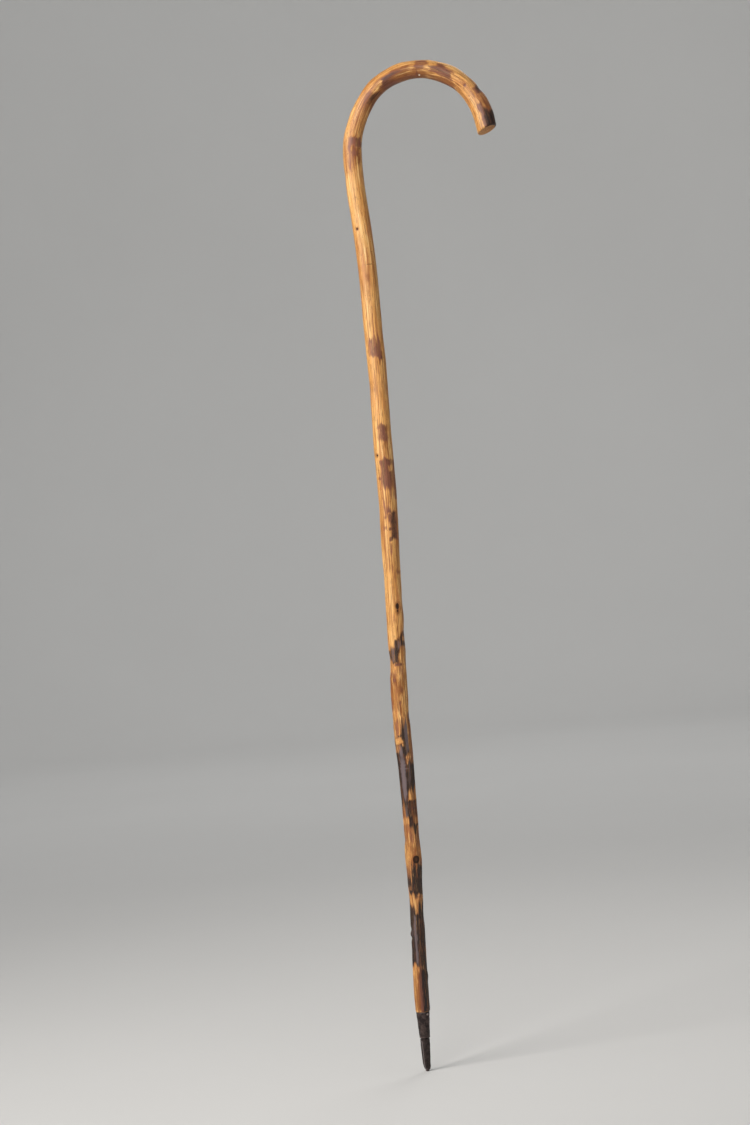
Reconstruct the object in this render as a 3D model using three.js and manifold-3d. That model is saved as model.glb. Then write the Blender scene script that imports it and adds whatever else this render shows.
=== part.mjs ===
// A walking stick bent from one length of knotty hardwood: a crook handle, a tapering shaft that wanders a
// little as grown wood does, and an iron ferrule that carries a spike.
// Millimetres. +Z runs up the shaft, +X is the way the crook turns, -Y is the front.
// The origin is the blunt end of the spike, where the stick meets the ground.
import * as THREE from "three";
import { mergeVertices } from "three/addons/utils/BufferGeometryUtils.js";
import Module from "manifold-3d";

// ---------------------------------------------------------------- driving dimensions

const TOTAL_HEIGHT = 900; // ground to the top of the crook
const CROOK_RADIUS = 57.2; // bend radius of the stick's centreline in the crook
const CROOK_CENTRE_X = 60.2;
const CROOK_TOP_WOOD = 8; // half the stick's thickness at the top of the crook
const CROOK_START = 158; // degrees round the crook where it leaves the shaft; 90 is its top
const CROOK_STOP = 8; // degrees where the bend ends and a short straight nose begins
const NOSE_LENGTH = 11.3; // that straight length, measured to the middle of the sawn end
const CROOK_FORWARD = 7; // how far the crook has come towards the front where it would reach 0 degrees
const CUT_TURN = 22; // degrees the sawn end faces towards +X from straight down
const CUT_LEAN = 11; // and towards the front
const SAWN_OFF = 6; // how much too long the nose is made before it is sawn

const FIT = 0.25; // clearance all round between two pieces that seat on each other

const SPIKE_LENGTH = 29.2; // ground to the spike's shoulder
const SPIKE_POINT = 3.2; // length of the worn, blunt point
const SPIKE_FLAT = 1.1; // radius of the flat worn on its very end
const SPIKE_END = 3.1; // radius where the blunt point begins
const SPIKE_BLUNTING = [0.5, 0.9]; // how far in, and how far down, the worn corner below that lies
const SPIKE_SHOULDER = 4.25; // radius of the shoulder
const SPIKE_BEVEL = 0.4; // the bevel round the shoulder
const NECK = 3.0; // radius of the neck in the groove above the shoulder
const GROOVE = 0.8; // height of that groove

const SLEEVE_LENGTH = 23.4;
const SLEEVE_MOUTH = 4.55; // outer radius at the bottom
const SLEEVE_TOP = 6.1; // outer radius at the top
const SLEEVE_WALL = 0.8;
const SLEEVE_BEVEL = 0.35; // the filed edge round its top rim
const SLEEVE_FLOOR = 1.2; // thickness of its bottom, turned in under the wood
const SLEEVE_BEAD = 0.2; // how far the edge of that bottom stands proud

const TANG_ROOT = 1.8; // radius of the tang where it leaves the neck
const TANG_TIP = 1.1; // radius near the tang's end
const TANG_TOP = 66; // height that the tang reaches inside the wood
const TANG_POINT = 4; // length of the point drawn out on the tang

const TACK_BELOW_RIM = 2.0; // tack centre below the sleeve's top edge
const TACK_HEAD = 1.1;
const TACK_HEAD_HEIGHT = 0.55;
const TACK_SHANK = 0.5;
const TACK_LENGTH = 3.1; // under the head
const TACK_POINT = 1.2; // length of its point
const TACK_TURN = 40; // degrees from the front towards +X for the front tack

const sleeveBottom = SPIKE_LENGTH + GROOVE;
const sleeveTop = sleeveBottom + SLEEVE_LENGTH;
const tenonEnd = sleeveBottom + SLEEVE_FLOOR + FIT;

// The shaft's bow: how far its centreline lies towards +X at each height.
const SHAFT_BOW = [
  [0, 0], [0, 35], [0, 70], [0.7, 110], [2.1, 165], [2.4, 215], [2.3, 275], [1.5, 330], [2.4, 385],
  [3.0, 440], [4.8, 520], [4.1, 565], [4.5, 610], [3.4, 672], [2.8, 715], [0.9, 753], [-2.0, 789],
  [-2.7, 817], [-0.6, 837],
];

// The wood's radius at distances along the centreline from the ground.
const WOOD_RADIUS = [
  [54, 6.3], [90, 6.35], [120, 6.15], [160, 6.2], [190, 6.8], [215, 6.45], [260, 6.8], [300, 7.3],
  [340, 7.6], [400, 7.75], [430, 7.5], [470, 8.0], [555, 8.4], [620, 8.2], [715, 8.4], [790, 8.4],
  [820, 8.5], [850, 8.0], [880, 7.8], [900, 8.1], [925, 7.8], [955, 8.7], [985, 8.3], [1000, 8.9],
  [1020, 9.0],
];

// Swellings over old side shoots: distance along the stick, degrees from the front to +X, height, spread.
const KNOTS = [
  { along: 122, turn: -80, height: 0.9, spread: 6 },
  { along: 190, turn: 25, height: 1.1, spread: 9 },
  { along: 295, turn: -50, height: 0.8, spread: 9 },
  { along: 352, turn: 170, height: 1.0, spread: 9 },
  { along: 414, turn: 20, height: 0.5, spread: 8 },
  { along: 524, turn: -160, height: 0.9, spread: 10 },
  { along: 551, turn: -40, height: 0.4, spread: 8 },
  { along: 640, turn: 140, height: 0.9, spread: 10 },
  { along: 753, turn: -34, height: 0.4, spread: 8 },
  { along: 832, turn: 200, height: 0.7, spread: 9 },
  { along: 987, turn: 75, height: 0.9, spread: 8 },
];

const BARK_EDGE = [0.4, 0.6]; // the wood's rounded edge above the sleeve: how far in, and how high

const WOOD_SIDES = 24; // faces round the stick
const SHAFT_STEP = 9; // length of each step along the shaft
const CROOK_STEP = 5.5; // and round the crook
const SHORT_STEPS_FROM = 815; // distance along the stick where the shorter steps begin
const METAL_SIDES = 32;
const TACK_SIDES = 12;

// ---------------------------------------------------------------- helpers

const radians = THREE.MathUtils.degToRad;
const point2 = ([x, y]) => new THREE.Vector2(x, y);

const wasm = await Module();
wasm.setup();

function toSolid(geometry) {
  const bare = geometry.clone();
  bare.deleteAttribute("normal");
  bare.deleteAttribute("uv");
  const merged = mergeVertices(bare, 1e-4);
  return new wasm.Manifold(
    new wasm.Mesh({
      numProp: 3,
      vertProperties: merged.attributes.position.array,
      triVerts: new Uint32Array(merged.index.array),
    }),
  );
}

function toGeometry(solid) {
  const mesh = solid.getMesh();
  const geometry = new THREE.BufferGeometry();
  geometry.setAttribute("position", new THREE.BufferAttribute(mesh.vertProperties, 3));
  geometry.setIndex(new THREE.BufferAttribute(mesh.triVerts, 1));
  const flat = geometry.toNonIndexed();
  flat.computeVertexNormals();
  return flat;
}

// A turned piece: a profile of [radius, height] points, spun about +Z.
function turned(profile, sides) {
  return new THREE.LatheGeometry(profile.map(point2), sides).rotateX(Math.PI / 2);
}

// The value at a distance, eased between the stations on each side of it.
function between(stations, distance) {
  const after = stations.findIndex(([at]) => at >= distance);
  if (after === 0) return stations[0][1];
  if (after < 0) return stations[stations.length - 1][1];
  const [[from, low], [to, high]] = [stations[after - 1], stations[after]];
  return low + (high - low) * THREE.MathUtils.smoothstep(distance, from, to);
}

// ---------------------------------------------------------------- the stick

const crookCentreZ = TOTAL_HEIGHT - CROOK_RADIUS - CROOK_TOP_WOOD;

function crookPoint(degrees) {
  const swung = Math.max(0, (90 - degrees) / 90);
  return new THREE.Vector3(
    CROOK_CENTRE_X + CROOK_RADIUS * Math.cos(radians(degrees)),
    -CROOK_FORWARD * swung ** 2,
    crookCentreZ + CROOK_RADIUS * Math.sin(radians(degrees)),
  );
}

const noseStart = crookPoint(CROOK_STOP);
const noseDirection = noseStart.clone().sub(crookPoint(CROOK_STOP + 0.1)).normalize();
const nosePoint = (distance) => noseStart.clone().addScaledVector(noseDirection, distance);

function makeCentreline() {
  const points = SHAFT_BOW.map(([x, z]) => new THREE.Vector3(x, 0, z));
  const crookSteps = 14;
  const noseSteps = 3;
  for (let i = 0; i <= crookSteps; i++) {
    points.push(crookPoint(THREE.MathUtils.lerp(CROOK_START, CROOK_STOP, i / crookSteps)));
  }
  for (let i = 1; i <= noseSteps; i++) points.push(nosePoint(((NOSE_LENGTH + SAWN_OFF) * i) / noseSteps));
  const curve = new THREE.CatmullRomCurve3(points);
  curve.arcLengthDivisions = 1500;
  return curve;
}

const centreline = makeCentreline();
const stickLength = centreline.getLength();

// Lays a straight piece, made along +Z, onto the bent centreline.
function bendOntoCentreline(geometry) {
  const position = geometry.attributes.position;
  const v = new THREE.Vector3();
  for (let i = 0; i < position.count; i++) {
    v.fromBufferAttribute(position, i);
    const u = THREE.MathUtils.clamp(v.z / stickLength, 0, 1);
    const tangent = centreline.getTangentAt(u);
    const back = new THREE.Vector3(0, 1, 0).addScaledVector(tangent, -tangent.y).normalize();
    const side = new THREE.Vector3().crossVectors(back, tangent);
    const bent = centreline.getPointAt(u).addScaledVector(side, v.x).addScaledVector(back, v.y);
    position.setXYZ(i, bent.x, bent.y, bent.z);
  }
  return geometry;
}

// How far the knots push the bark line out at one place on the straight stick.
function knotSwell(along, turn) {
  return KNOTS.reduce((sum, knot) => {
    const apart = Math.atan2(Math.sin(turn - radians(knot.turn)), Math.cos(turn - radians(knot.turn)));
    const across = (apart * between(WOOD_RADIUS, along)) / knot.spread;
    const length = (along - knot.along) / knot.spread;
    return sum + knot.height * Math.exp(-(across ** 2) - length ** 2);
  }, 0);
}

function swellAtKnots(geometry) {
  const position = geometry.attributes.position;
  for (let i = 0; i < position.count; i++) {
    const [x, y, z] = [position.getX(i), position.getY(i), position.getZ(i)];
    const radius = Math.hypot(x, y);
    const onBark = z > sleeveTop + 2 * FIT && radius > SLEEVE_MOUTH;
    if (!onBark) continue;
    const grown = 1 + knotSwell(z, Math.atan2(x, -y)) / radius;
    position.setXY(i, x * grown, y * grown);
  }
  return geometry;
}

const sleeveRadius = (height) =>
  SLEEVE_MOUTH + ((SLEEVE_TOP - SLEEVE_MOUTH) * (height - sleeveBottom)) / SLEEVE_LENGTH;
const sleeveBore = (height) => sleeveRadius(height) - SLEEVE_WALL;
const tenonRadius = (height) => sleeveBore(height) - FIT;

// From the blind end of the tang's bore, down it, up round the tenon, and along the bark to the far end.
function stickProfile() {
  const shoulder = sleeveTop + FIT;
  const [edgeIn, edgeHigh] = BARK_EDGE;
  const profile = [
    [0, TANG_TOP + FIT],
    [TANG_TIP + FIT, TANG_TOP + FIT],
    [TANG_ROOT + FIT, tenonEnd],
    [tenonRadius(tenonEnd), tenonEnd],
    [tenonRadius(shoulder), shoulder],
    [between(WOOD_RADIUS, shoulder) - edgeIn, shoulder],
    [between(WOOD_RADIUS, shoulder), shoulder + edgeHigh],
  ];
  let along = shoulder + edgeHigh + SHAFT_STEP;
  while (along < stickLength - CROOK_STEP / 2) {
    profile.push([between(WOOD_RADIUS, along), along]);
    along += along < SHORT_STEPS_FROM ? SHAFT_STEP : CROOK_STEP;
  }
  profile.push([between(WOOD_RADIUS, stickLength), stickLength], [0, stickLength]);
  return profile;
}

// Everything past the saw cut at the end of the nose.
function pastTheCut() {
  const facing = new THREE.Vector3(
    Math.sin(radians(CUT_TURN)) * Math.cos(radians(CUT_LEAN)),
    -Math.sin(radians(CUT_LEAN)),
    -Math.cos(radians(CUT_TURN)) * Math.cos(radians(CUT_LEAN)),
  );
  const turn = new THREE.Quaternion().setFromUnitVectors(new THREE.Vector3(0, 0, 1), facing);
  const centre = nosePoint(NOSE_LENGTH);
  const [across, deep] = [50, 25]; // more than enough to hold all that is sawn off
  const block = new THREE.BoxGeometry(across, across, deep).translate(0, 0, deep / 2);
  return toSolid(block.applyQuaternion(turn).translate(centre.x, centre.y, centre.z));
}

// ---------------------------------------------------------------- the ferrule and its fixings

const tackHeight = sleeveTop - TACK_BELOW_RIM;
const tackTurns = { ferrule_tack_front: TACK_TURN, ferrule_tack_back: TACK_TURN + 180 };

// Points a piece that was made along +Z out of the sleeve's side, at a turn from the front.
function aimOutward(geometry, turn, distance) {
  return geometry
    .rotateX(Math.PI / 2)
    .translate(0, -distance, 0)
    .rotateZ(radians(turn))
    .translate(0, 0, tackHeight);
}

function tackGeometry(turn) {
  const pointEnds = TACK_POINT - TACK_LENGTH;
  const profile = [[0, -TACK_LENGTH], [TACK_SHANK, pointEnds], [TACK_SHANK, 0], [TACK_HEAD, 0]];
  const domeSteps = 4;
  for (let i = 1; i <= domeSteps; i++) {
    const angle = (Math.PI / 2) * (i / domeSteps);
    profile.push([i === domeSteps ? 0 : TACK_HEAD * Math.cos(angle), TACK_HEAD_HEIGHT * Math.sin(angle)]);
  }
  return aimOutward(turned(profile, TACK_SIDES), turn, sleeveRadius(tackHeight) + FIT);
}

// The drilling for one tack, from outside the sleeve into the wood.
function tackHole(turn) {
  const radius = TACK_SHANK + FIT;
  const depth = TACK_LENGTH + FIT;
  const clearOfSleeve = 2;
  const drill = [[0, -depth], [radius, -depth], [radius, clearOfSleeve], [0, clearOfSleeve]];
  return toSolid(aimOutward(turned(drill, TACK_SIDES), turn, sleeveRadius(tackHeight)));
}

function drilledForTacks(solid) {
  return Object.values(tackTurns).reduce((left, turn) => left.subtract(tackHole(turn)), solid);
}

function stickGeometry() {
  const straight = swellAtKnots(turned(stickProfile(), WOOD_SIDES));
  const bent = toSolid(bendOntoCentreline(straight));
  return toGeometry(drilledForTacks(bent.subtract(pastTheCut())));
}

function sleeveGeometry() {
  const tangBore = TANG_ROOT + FIT;
  const floorTop = sleeveBottom + SLEEVE_FLOOR;
  const profile = [
    [tangBore, sleeveBottom],
    [SLEEVE_MOUTH, sleeveBottom],
    [SLEEVE_MOUTH + SLEEVE_BEAD, sleeveBottom + SLEEVE_BEAD],
    [SLEEVE_MOUTH + SLEEVE_BEAD, floorTop - SLEEVE_BEAD],
    [sleeveRadius(floorTop), floorTop],
    [sleeveRadius(sleeveTop - SLEEVE_BEVEL), sleeveTop - SLEEVE_BEVEL],
    [SLEEVE_TOP - SLEEVE_BEVEL, sleeveTop],
    [sleeveBore(sleeveTop), sleeveTop],
    [sleeveBore(floorTop), floorTop],
    [tangBore, floorTop],
    [tangBore, sleeveBottom],
  ];
  return toGeometry(drilledForTacks(toSolid(turned(profile, METAL_SIDES))));
}

function spikeGeometry() {
  const [cornerIn, cornerDown] = SPIKE_BLUNTING;
  return turned(
    [
      [0, 0],
      [SPIKE_FLAT, 0],
      [SPIKE_END - cornerIn, SPIKE_POINT - cornerDown],
      [SPIKE_END, SPIKE_POINT],
      [SPIKE_SHOULDER, SPIKE_LENGTH - SPIKE_BEVEL],
      [SPIKE_SHOULDER - SPIKE_BEVEL, SPIKE_LENGTH],
      [NECK, SPIKE_LENGTH],
      [NECK, sleeveBottom - FIT],
      [TANG_ROOT, sleeveBottom - FIT],
      [TANG_TIP, TANG_TOP - TANG_POINT],
      [0, TANG_TOP],
    ],
    METAL_SIDES,
  );
}

// ---------------------------------------------------------------- materials and assembly

const WOOD = { color: 0xc98f45, roughness: 0.38, metalness: 0 };
const IRON = { color: 0x3a3431, roughness: 0.55, metalness: 0.85 };
const WORN_IRON = { color: 0x6b6562, roughness: 0.42, metalness: 0.9 };

function piece(name, geometry, finish) {
  const mesh = new THREE.Mesh(geometry, new THREE.MeshStandardMaterial(finish));
  mesh.name = name;
  return mesh;
}

const ferrule = new THREE.Group();
ferrule.add(piece("ferrule_sleeve", sleeveGeometry(), IRON), piece("spike", spikeGeometry(), WORN_IRON));
for (const [name, turn] of Object.entries(tackTurns)) ferrule.add(piece(name, tackGeometry(turn), IRON));

const cane = new THREE.Group();
cane.add(piece("stick", stickGeometry(), WOOD), ferrule);

export default cane;
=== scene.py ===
"""A crook-handled walking stick: one piece of flame-mottled hardwood, an iron ferrule and its spike.

The stick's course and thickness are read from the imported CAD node. Bark relief, scorch marks, forged iron
and every finish are made here. Lengths in this file are millimetres unless a name or comment says
otherwise, and each mesh is turned into metres where it is made. "along" is the distance up the middle of
the stick from the ground, and "turn" is the angle round it in degrees: 0 faces the front (-Y), 90 faces
the inside of the crook (+X). The last number in each noise call is its seed.
"""
import math

import bpy
import numpy as np
from mathutils import Matrix, Vector
from mathutils.bvhtree import BVHTree


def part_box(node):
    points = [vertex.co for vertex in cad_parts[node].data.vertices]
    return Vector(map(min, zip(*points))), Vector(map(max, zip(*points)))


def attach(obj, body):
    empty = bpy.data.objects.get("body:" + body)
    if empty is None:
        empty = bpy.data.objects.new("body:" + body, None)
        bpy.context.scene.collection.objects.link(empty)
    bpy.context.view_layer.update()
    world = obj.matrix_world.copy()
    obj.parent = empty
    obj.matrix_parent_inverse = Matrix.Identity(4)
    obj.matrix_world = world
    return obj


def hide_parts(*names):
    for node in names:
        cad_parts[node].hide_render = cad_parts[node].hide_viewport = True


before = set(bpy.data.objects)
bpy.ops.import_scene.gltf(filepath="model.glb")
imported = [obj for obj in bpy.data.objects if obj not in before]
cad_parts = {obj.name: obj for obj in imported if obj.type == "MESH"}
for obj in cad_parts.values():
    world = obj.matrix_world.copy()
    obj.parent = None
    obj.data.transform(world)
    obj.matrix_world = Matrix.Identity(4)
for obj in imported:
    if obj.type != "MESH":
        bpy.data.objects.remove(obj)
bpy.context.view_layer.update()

MM = 0.001
rng = np.random.default_rng(7)


# ---- small tools

def smooth(low, high, value):
    """0 below low, 1 above high, and an eased step between them."""
    t = np.clip((value - low) / (high - low), 0.0, 1.0)
    return t * t * (3.0 - 2.0 * t)


def between(rise_from, rise_to, fall_from, fall_to, value):
    """0, then an eased climb to 1, then an eased fall back to 0."""
    return smooth(rise_from, rise_to, value) * (1 - smooth(fall_from, fall_to, value))


def lattice(ix, iy, iz, seed):
    """A fixed number from -1 to 1 for each whole-number point."""
    h = (ix * 73856093) ^ (iy * 19349663) ^ (iz * 83492791) ^ (seed * 2654435761)
    h = (h ^ (h >> 13)) * 1274126177 & 0xFFFFFFFF
    h = (h ^ (h >> 15)) * 668265263 & 0xFFFFFFFF
    return ((h ^ (h >> 16)) & 0xFFFF) / 32767.5 - 1.0


def noise(x, y, z, seed):
    """Smooth noise from -1 to 1 with cells one unit across."""
    x, y, z = np.broadcast_arrays(x, y, z)
    corner = [np.floor(c).astype(np.int64) for c in (x, y, z)]
    ease = [t * t * t * (t * (t * 6 - 15) + 10) for t in (x - corner[0], y - corner[1], z - corner[2])]
    total = np.zeros(x.shape)
    for dx in (0, 1):
        for dy in (0, 1):
            for dz in (0, 1):
                weight = 1.0
                for d, e in zip((dx, dy, dz), ease):
                    weight = weight * (e if d else 1.0 - e)
                total += weight * lattice(corner[0] + dx, corner[1] + dy, corner[2] + dz, seed)
    return total


def around(turn, cells):
    """Two coordinates that carry noise seamlessly round the stick, about that many cells to a turn."""
    reach = cells / (2 * math.pi)
    return reach * np.cos(np.radians(turn)) + 50.0, reach * np.sin(np.radians(turn)) + 50.0


def apart(turn, other):
    """The signed angle from other to turn, from -180 to 180."""
    return (turn - other + 180.0) % 360.0 - 180.0


def facing_to(turn, middle, spread):
    """1 where turn is at the middle, fading out to both sides over about that many degrees."""
    return np.exp(-((apart(turn, middle) / spread) ** 2))


def mesh_object(name, points, faces):
    """A smooth-shaded mesh object from points in millimetres."""
    mesh = bpy.data.meshes.new(name)
    mesh.from_pydata((np.asarray(points) * MM).tolist(), [], faces)
    mesh.validate()
    mesh.update()
    mesh.shade_smooth()
    made = bpy.data.objects.new(name, mesh)
    bpy.context.scene.collection.objects.link(made)
    return made


def bands(rings, sides, closed=False):
    """Faces between stacked rings of that many points. A closed stack joins its last ring to its first."""
    step = np.arange(sides)
    after = (step + 1) % sides
    faces = []
    for ring in range(rings if closed else rings - 1):
        low, high = ring * sides, (ring + 1) % rings * sides
        faces += np.stack([low + step, low + after, high + after, high + step], 1).tolist()
    return faces


def skin(rings, sides):
    """Bands over a stack of rings, closed by one extra point at each end."""
    start, end = rings * sides, rings * sides + 1
    step = np.arange(sides)
    after = (step + 1) % sides
    top = (rings - 1) * sides
    faces = bands(rings, sides)
    faces += np.stack([np.full(sides, start), after, step], 1).tolist()
    faces += np.stack([np.full(sides, end), top + step, top + after], 1).tolist()
    return faces


def put_attribute(made, name, kind, values):
    """A value for each point, for the material to read."""
    attribute = made.data.attributes.new(name, kind, "POINT")
    field = {"FLOAT": "value", "FLOAT_VECTOR": "vector", "FLOAT_COLOR": "color"}[kind]
    attribute.data.foreach_set(field, np.ascontiguousarray(values, dtype=np.float32).ravel())


# ---- the foot's sizes, as in the CAD model

FIT = 0.25  # clearance between fitted pieces
SLEEVE_MOUTH = 4.55  # outer radius at the sleeve's bottom
SLEEVE_RIM = 6.1  # and at its top
SLEEVE_WALL = 0.8
SLEEVE_FLOOR = 1.2  # thickness of its bottom, turned in under the wood
SLEEVE_BEAD = 0.2  # how far the edge of that bottom stands proud
BORE_WIDE = 2.05  # radius at the mouth of the tang's bore
BORE_NARROW = 1.35  # and at its blind end

SLEEVE_BOTTOM, SLEEVE_TOP = [corner.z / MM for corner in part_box("ferrule_sleeve")]
SHOULDER = SLEEVE_TOP + FIT
TENON_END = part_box("stick")[0].z / MM
TANG_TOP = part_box("spike")[1].z / MM
BORE_TOP = TANG_TOP + FIT


def sleeve_radius(height):
    """The sleeve's outer radius."""
    slope = (SLEEVE_RIM - SLEEVE_MOUTH) / (SLEEVE_TOP - SLEEVE_BOTTOM)
    return SLEEVE_MOUTH + slope * (height - SLEEVE_BOTTOM)


def tenon_radius(height):
    """The radius of the turned-down foot of the wood, inside the sleeve."""
    share = (height - SLEEVE_BOTTOM) / (SHOULDER - SLEEVE_BOTTOM)
    return SLEEVE_MOUTH - SLEEVE_WALL - FIT + (SLEEVE_RIM - SLEEVE_MOUTH) * share


# ---- the stick's course, from the CAD node

REACH = 20.0  # rays start this far out from the middle of the stick
MARCH = 3.0  # distance between readings
CENTRING_PASSES = 3
CENTRING = 1.6  # how much of the off-centre error each pass takes out
STEADINESS = 0.35  # share of the old heading kept at each step
END_ON = 0.7  # a surface that faces this squarely along the stick is the sawn end
FIRST_READING = 2.0  # above the shoulder
COARSE_STEP = 7.5  # degrees
COARSE_TURNS = np.arange(0, 360, COARSE_STEP)
WAVES_KEPT = 5  # round the stick, in its broad shape
ROWS_BLURRED = 1.2
TANGENT_SPAN = 4.0
BACK = Vector((0, 1, 0))


def axes_at(tangent):
    """The directions of turn 90 and turn 180 where the stick heads along tangent."""
    back = (BACK - tangent * BACK.dot(tangent)).normalized()
    return back.cross(tangent), back


def outward(tangent, turn):
    """The direction that a turn faces."""
    side, back = axes_at(tangent)
    angle = math.radians(turn)
    return side * math.sin(angle) - back * math.cos(angle)


def bark_distances(tree, centre, tangent):
    """How far the wood reaches from centre at each coarse turn, or None where the sawn end is met."""
    found = []
    for turn in COARSE_TURNS:
        out = outward(tangent, turn)
        hit, facing = tree.ray_cast((centre + out * REACH) * MM, -out, REACH * MM)[:2]
        if hit is None or facing.dot(tangent) > END_ON:
            return None
        found.append((hit / MM - centre).length)
    return found


def centred(tree, guess, tangent):
    """Moves a guess to the middle of the wood. Gives the distances too, or None past the sawn end."""
    for _ in range(CENTRING_PASSES):
        distances = bark_distances(tree, guess, tangent)
        if distances is None:
            break
        outs = [outward(tangent, turn) * far for turn, far in zip(COARSE_TURNS, distances)]
        guess = guess + sum(outs, Vector()) * (CENTRING / len(outs))
    return guess, distances


def follow_stick():
    """Walks up the middle of the CAD stick. Gives its middle points, its distances and its sawn end."""
    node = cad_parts["stick"]
    corners = [v.co.copy() for v in node.data.vertices]
    tree = BVHTree.FromPolygons(corners, [tuple(p.vertices) for p in node.data.polygons])
    tangent = Vector((0, 0, 1))
    point = Vector((0, 0, SHOULDER + FIRST_READING))
    distances = bark_distances(tree, point, tangent)
    points, reaches = [], []
    while distances is not None:
        points.append(point)
        reaches.append(distances)
        guess, distances = centred(tree, point + tangent * MARCH, tangent)
        heading = (guess - point).normalized()
        tangent = (tangent * STEADINESS + heading * (1 - STEADINESS)).normalized()
        point = guess
    heading = (points[-1] - points[-3]).normalized()
    end, facing = tree.ray_cast(points[-1] * MM, heading, 10 * MARCH * MM)[:2]
    return points, np.array(reaches), Vector(end) / MM, Vector(facing)


def low_pass(rows, waves, spread):
    """Keeps the broad shape of thickness readings: so many waves round, and blurred over so many rows."""
    spectrum = np.fft.rfft(rows, axis=1)
    spectrum[:, waves + 1:] = 0
    rows = np.fft.irfft(spectrum, rows.shape[1], axis=1)
    span = int(spread * 3)
    kernel = np.exp(-0.5 * (np.arange(-span, span + 1) / spread) ** 2)
    kernel /= kernel.sum()
    padded = np.pad(rows, ((span, span), (0, 0)), mode="edge")
    return np.stack([np.convolve(column, kernel, "valid") for column in padded.T], 1)


def averaged(values):
    """A running average over five readings, which keeps a straight run straight to its ends."""
    padded = np.pad(values, 2, mode="reflect", reflect_type="odd")
    return np.convolve(padded, np.ones(5) / 5, "valid")


cad_points, cad_reaches, END_POINT, END_FACING = follow_stick()
cad_reaches = low_pass(cad_reaches, WAVES_KEPT, ROWS_BLURRED)
cad_line = np.array([[0, 0, 0], [0, 0, TENON_END]] + [list(p) for p in cad_points] + [list(END_POINT)])
cad_line[2:-1] = np.stack([averaged(values) for values in cad_line[2:-1].T], 1)
cad_along = np.r_[0, np.cumsum(np.linalg.norm(np.diff(cad_line, axis=0), axis=1))]
LENGTH = cad_along[-1]


def centre_at(along):
    """Points on the stick's middle line, carried straight on past its sawn end."""
    inside = np.clip(along, 0, LENGTH)
    points = np.stack([np.interp(inside, cad_along, cad_line[:, i]) for i in range(3)], -1)
    heading = (cad_line[-1] - cad_line[-4]) / np.linalg.norm(cad_line[-1] - cad_line[-4])
    return points + (along - inside)[..., None] * heading


def frame_at(along):
    """Middle points, the directions of turn 90 and turn 180, and the heading, at an array of distances."""
    before, after = centre_at(along - TANGENT_SPAN), centre_at(along + TANGENT_SPAN)
    tangent = (after - before) / np.linalg.norm(after - before, axis=-1, keepdims=True)
    back = np.array(BACK) - tangent * tangent[..., 1:2]
    back /= np.linalg.norm(back, axis=-1, keepdims=True)
    return centre_at(along), np.cross(back, tangent), back, tangent


def thickness(along, turn):
    """The CAD stick's radius at arrays of distances and turns."""
    place = np.interp(along, cad_along[2:-1], np.arange(len(cad_reaches)))
    row = np.clip(np.floor(place).astype(int), 0, len(cad_reaches) - 2)
    between_rows = place - row
    spot = (turn % 360.0) / COARSE_STEP
    column = np.floor(spot).astype(int) % len(COARSE_TURNS)
    between_columns = spot - np.floor(spot)
    after = (column + 1) % len(COARSE_TURNS)

    def across(r):
        return cad_reaches[r, column] * (1 - between_columns) + cad_reaches[r, after] * between_columns

    return across(row) * (1 - between_rows) + across(row + 1) * between_rows


# ---- relief of the bark line

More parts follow.
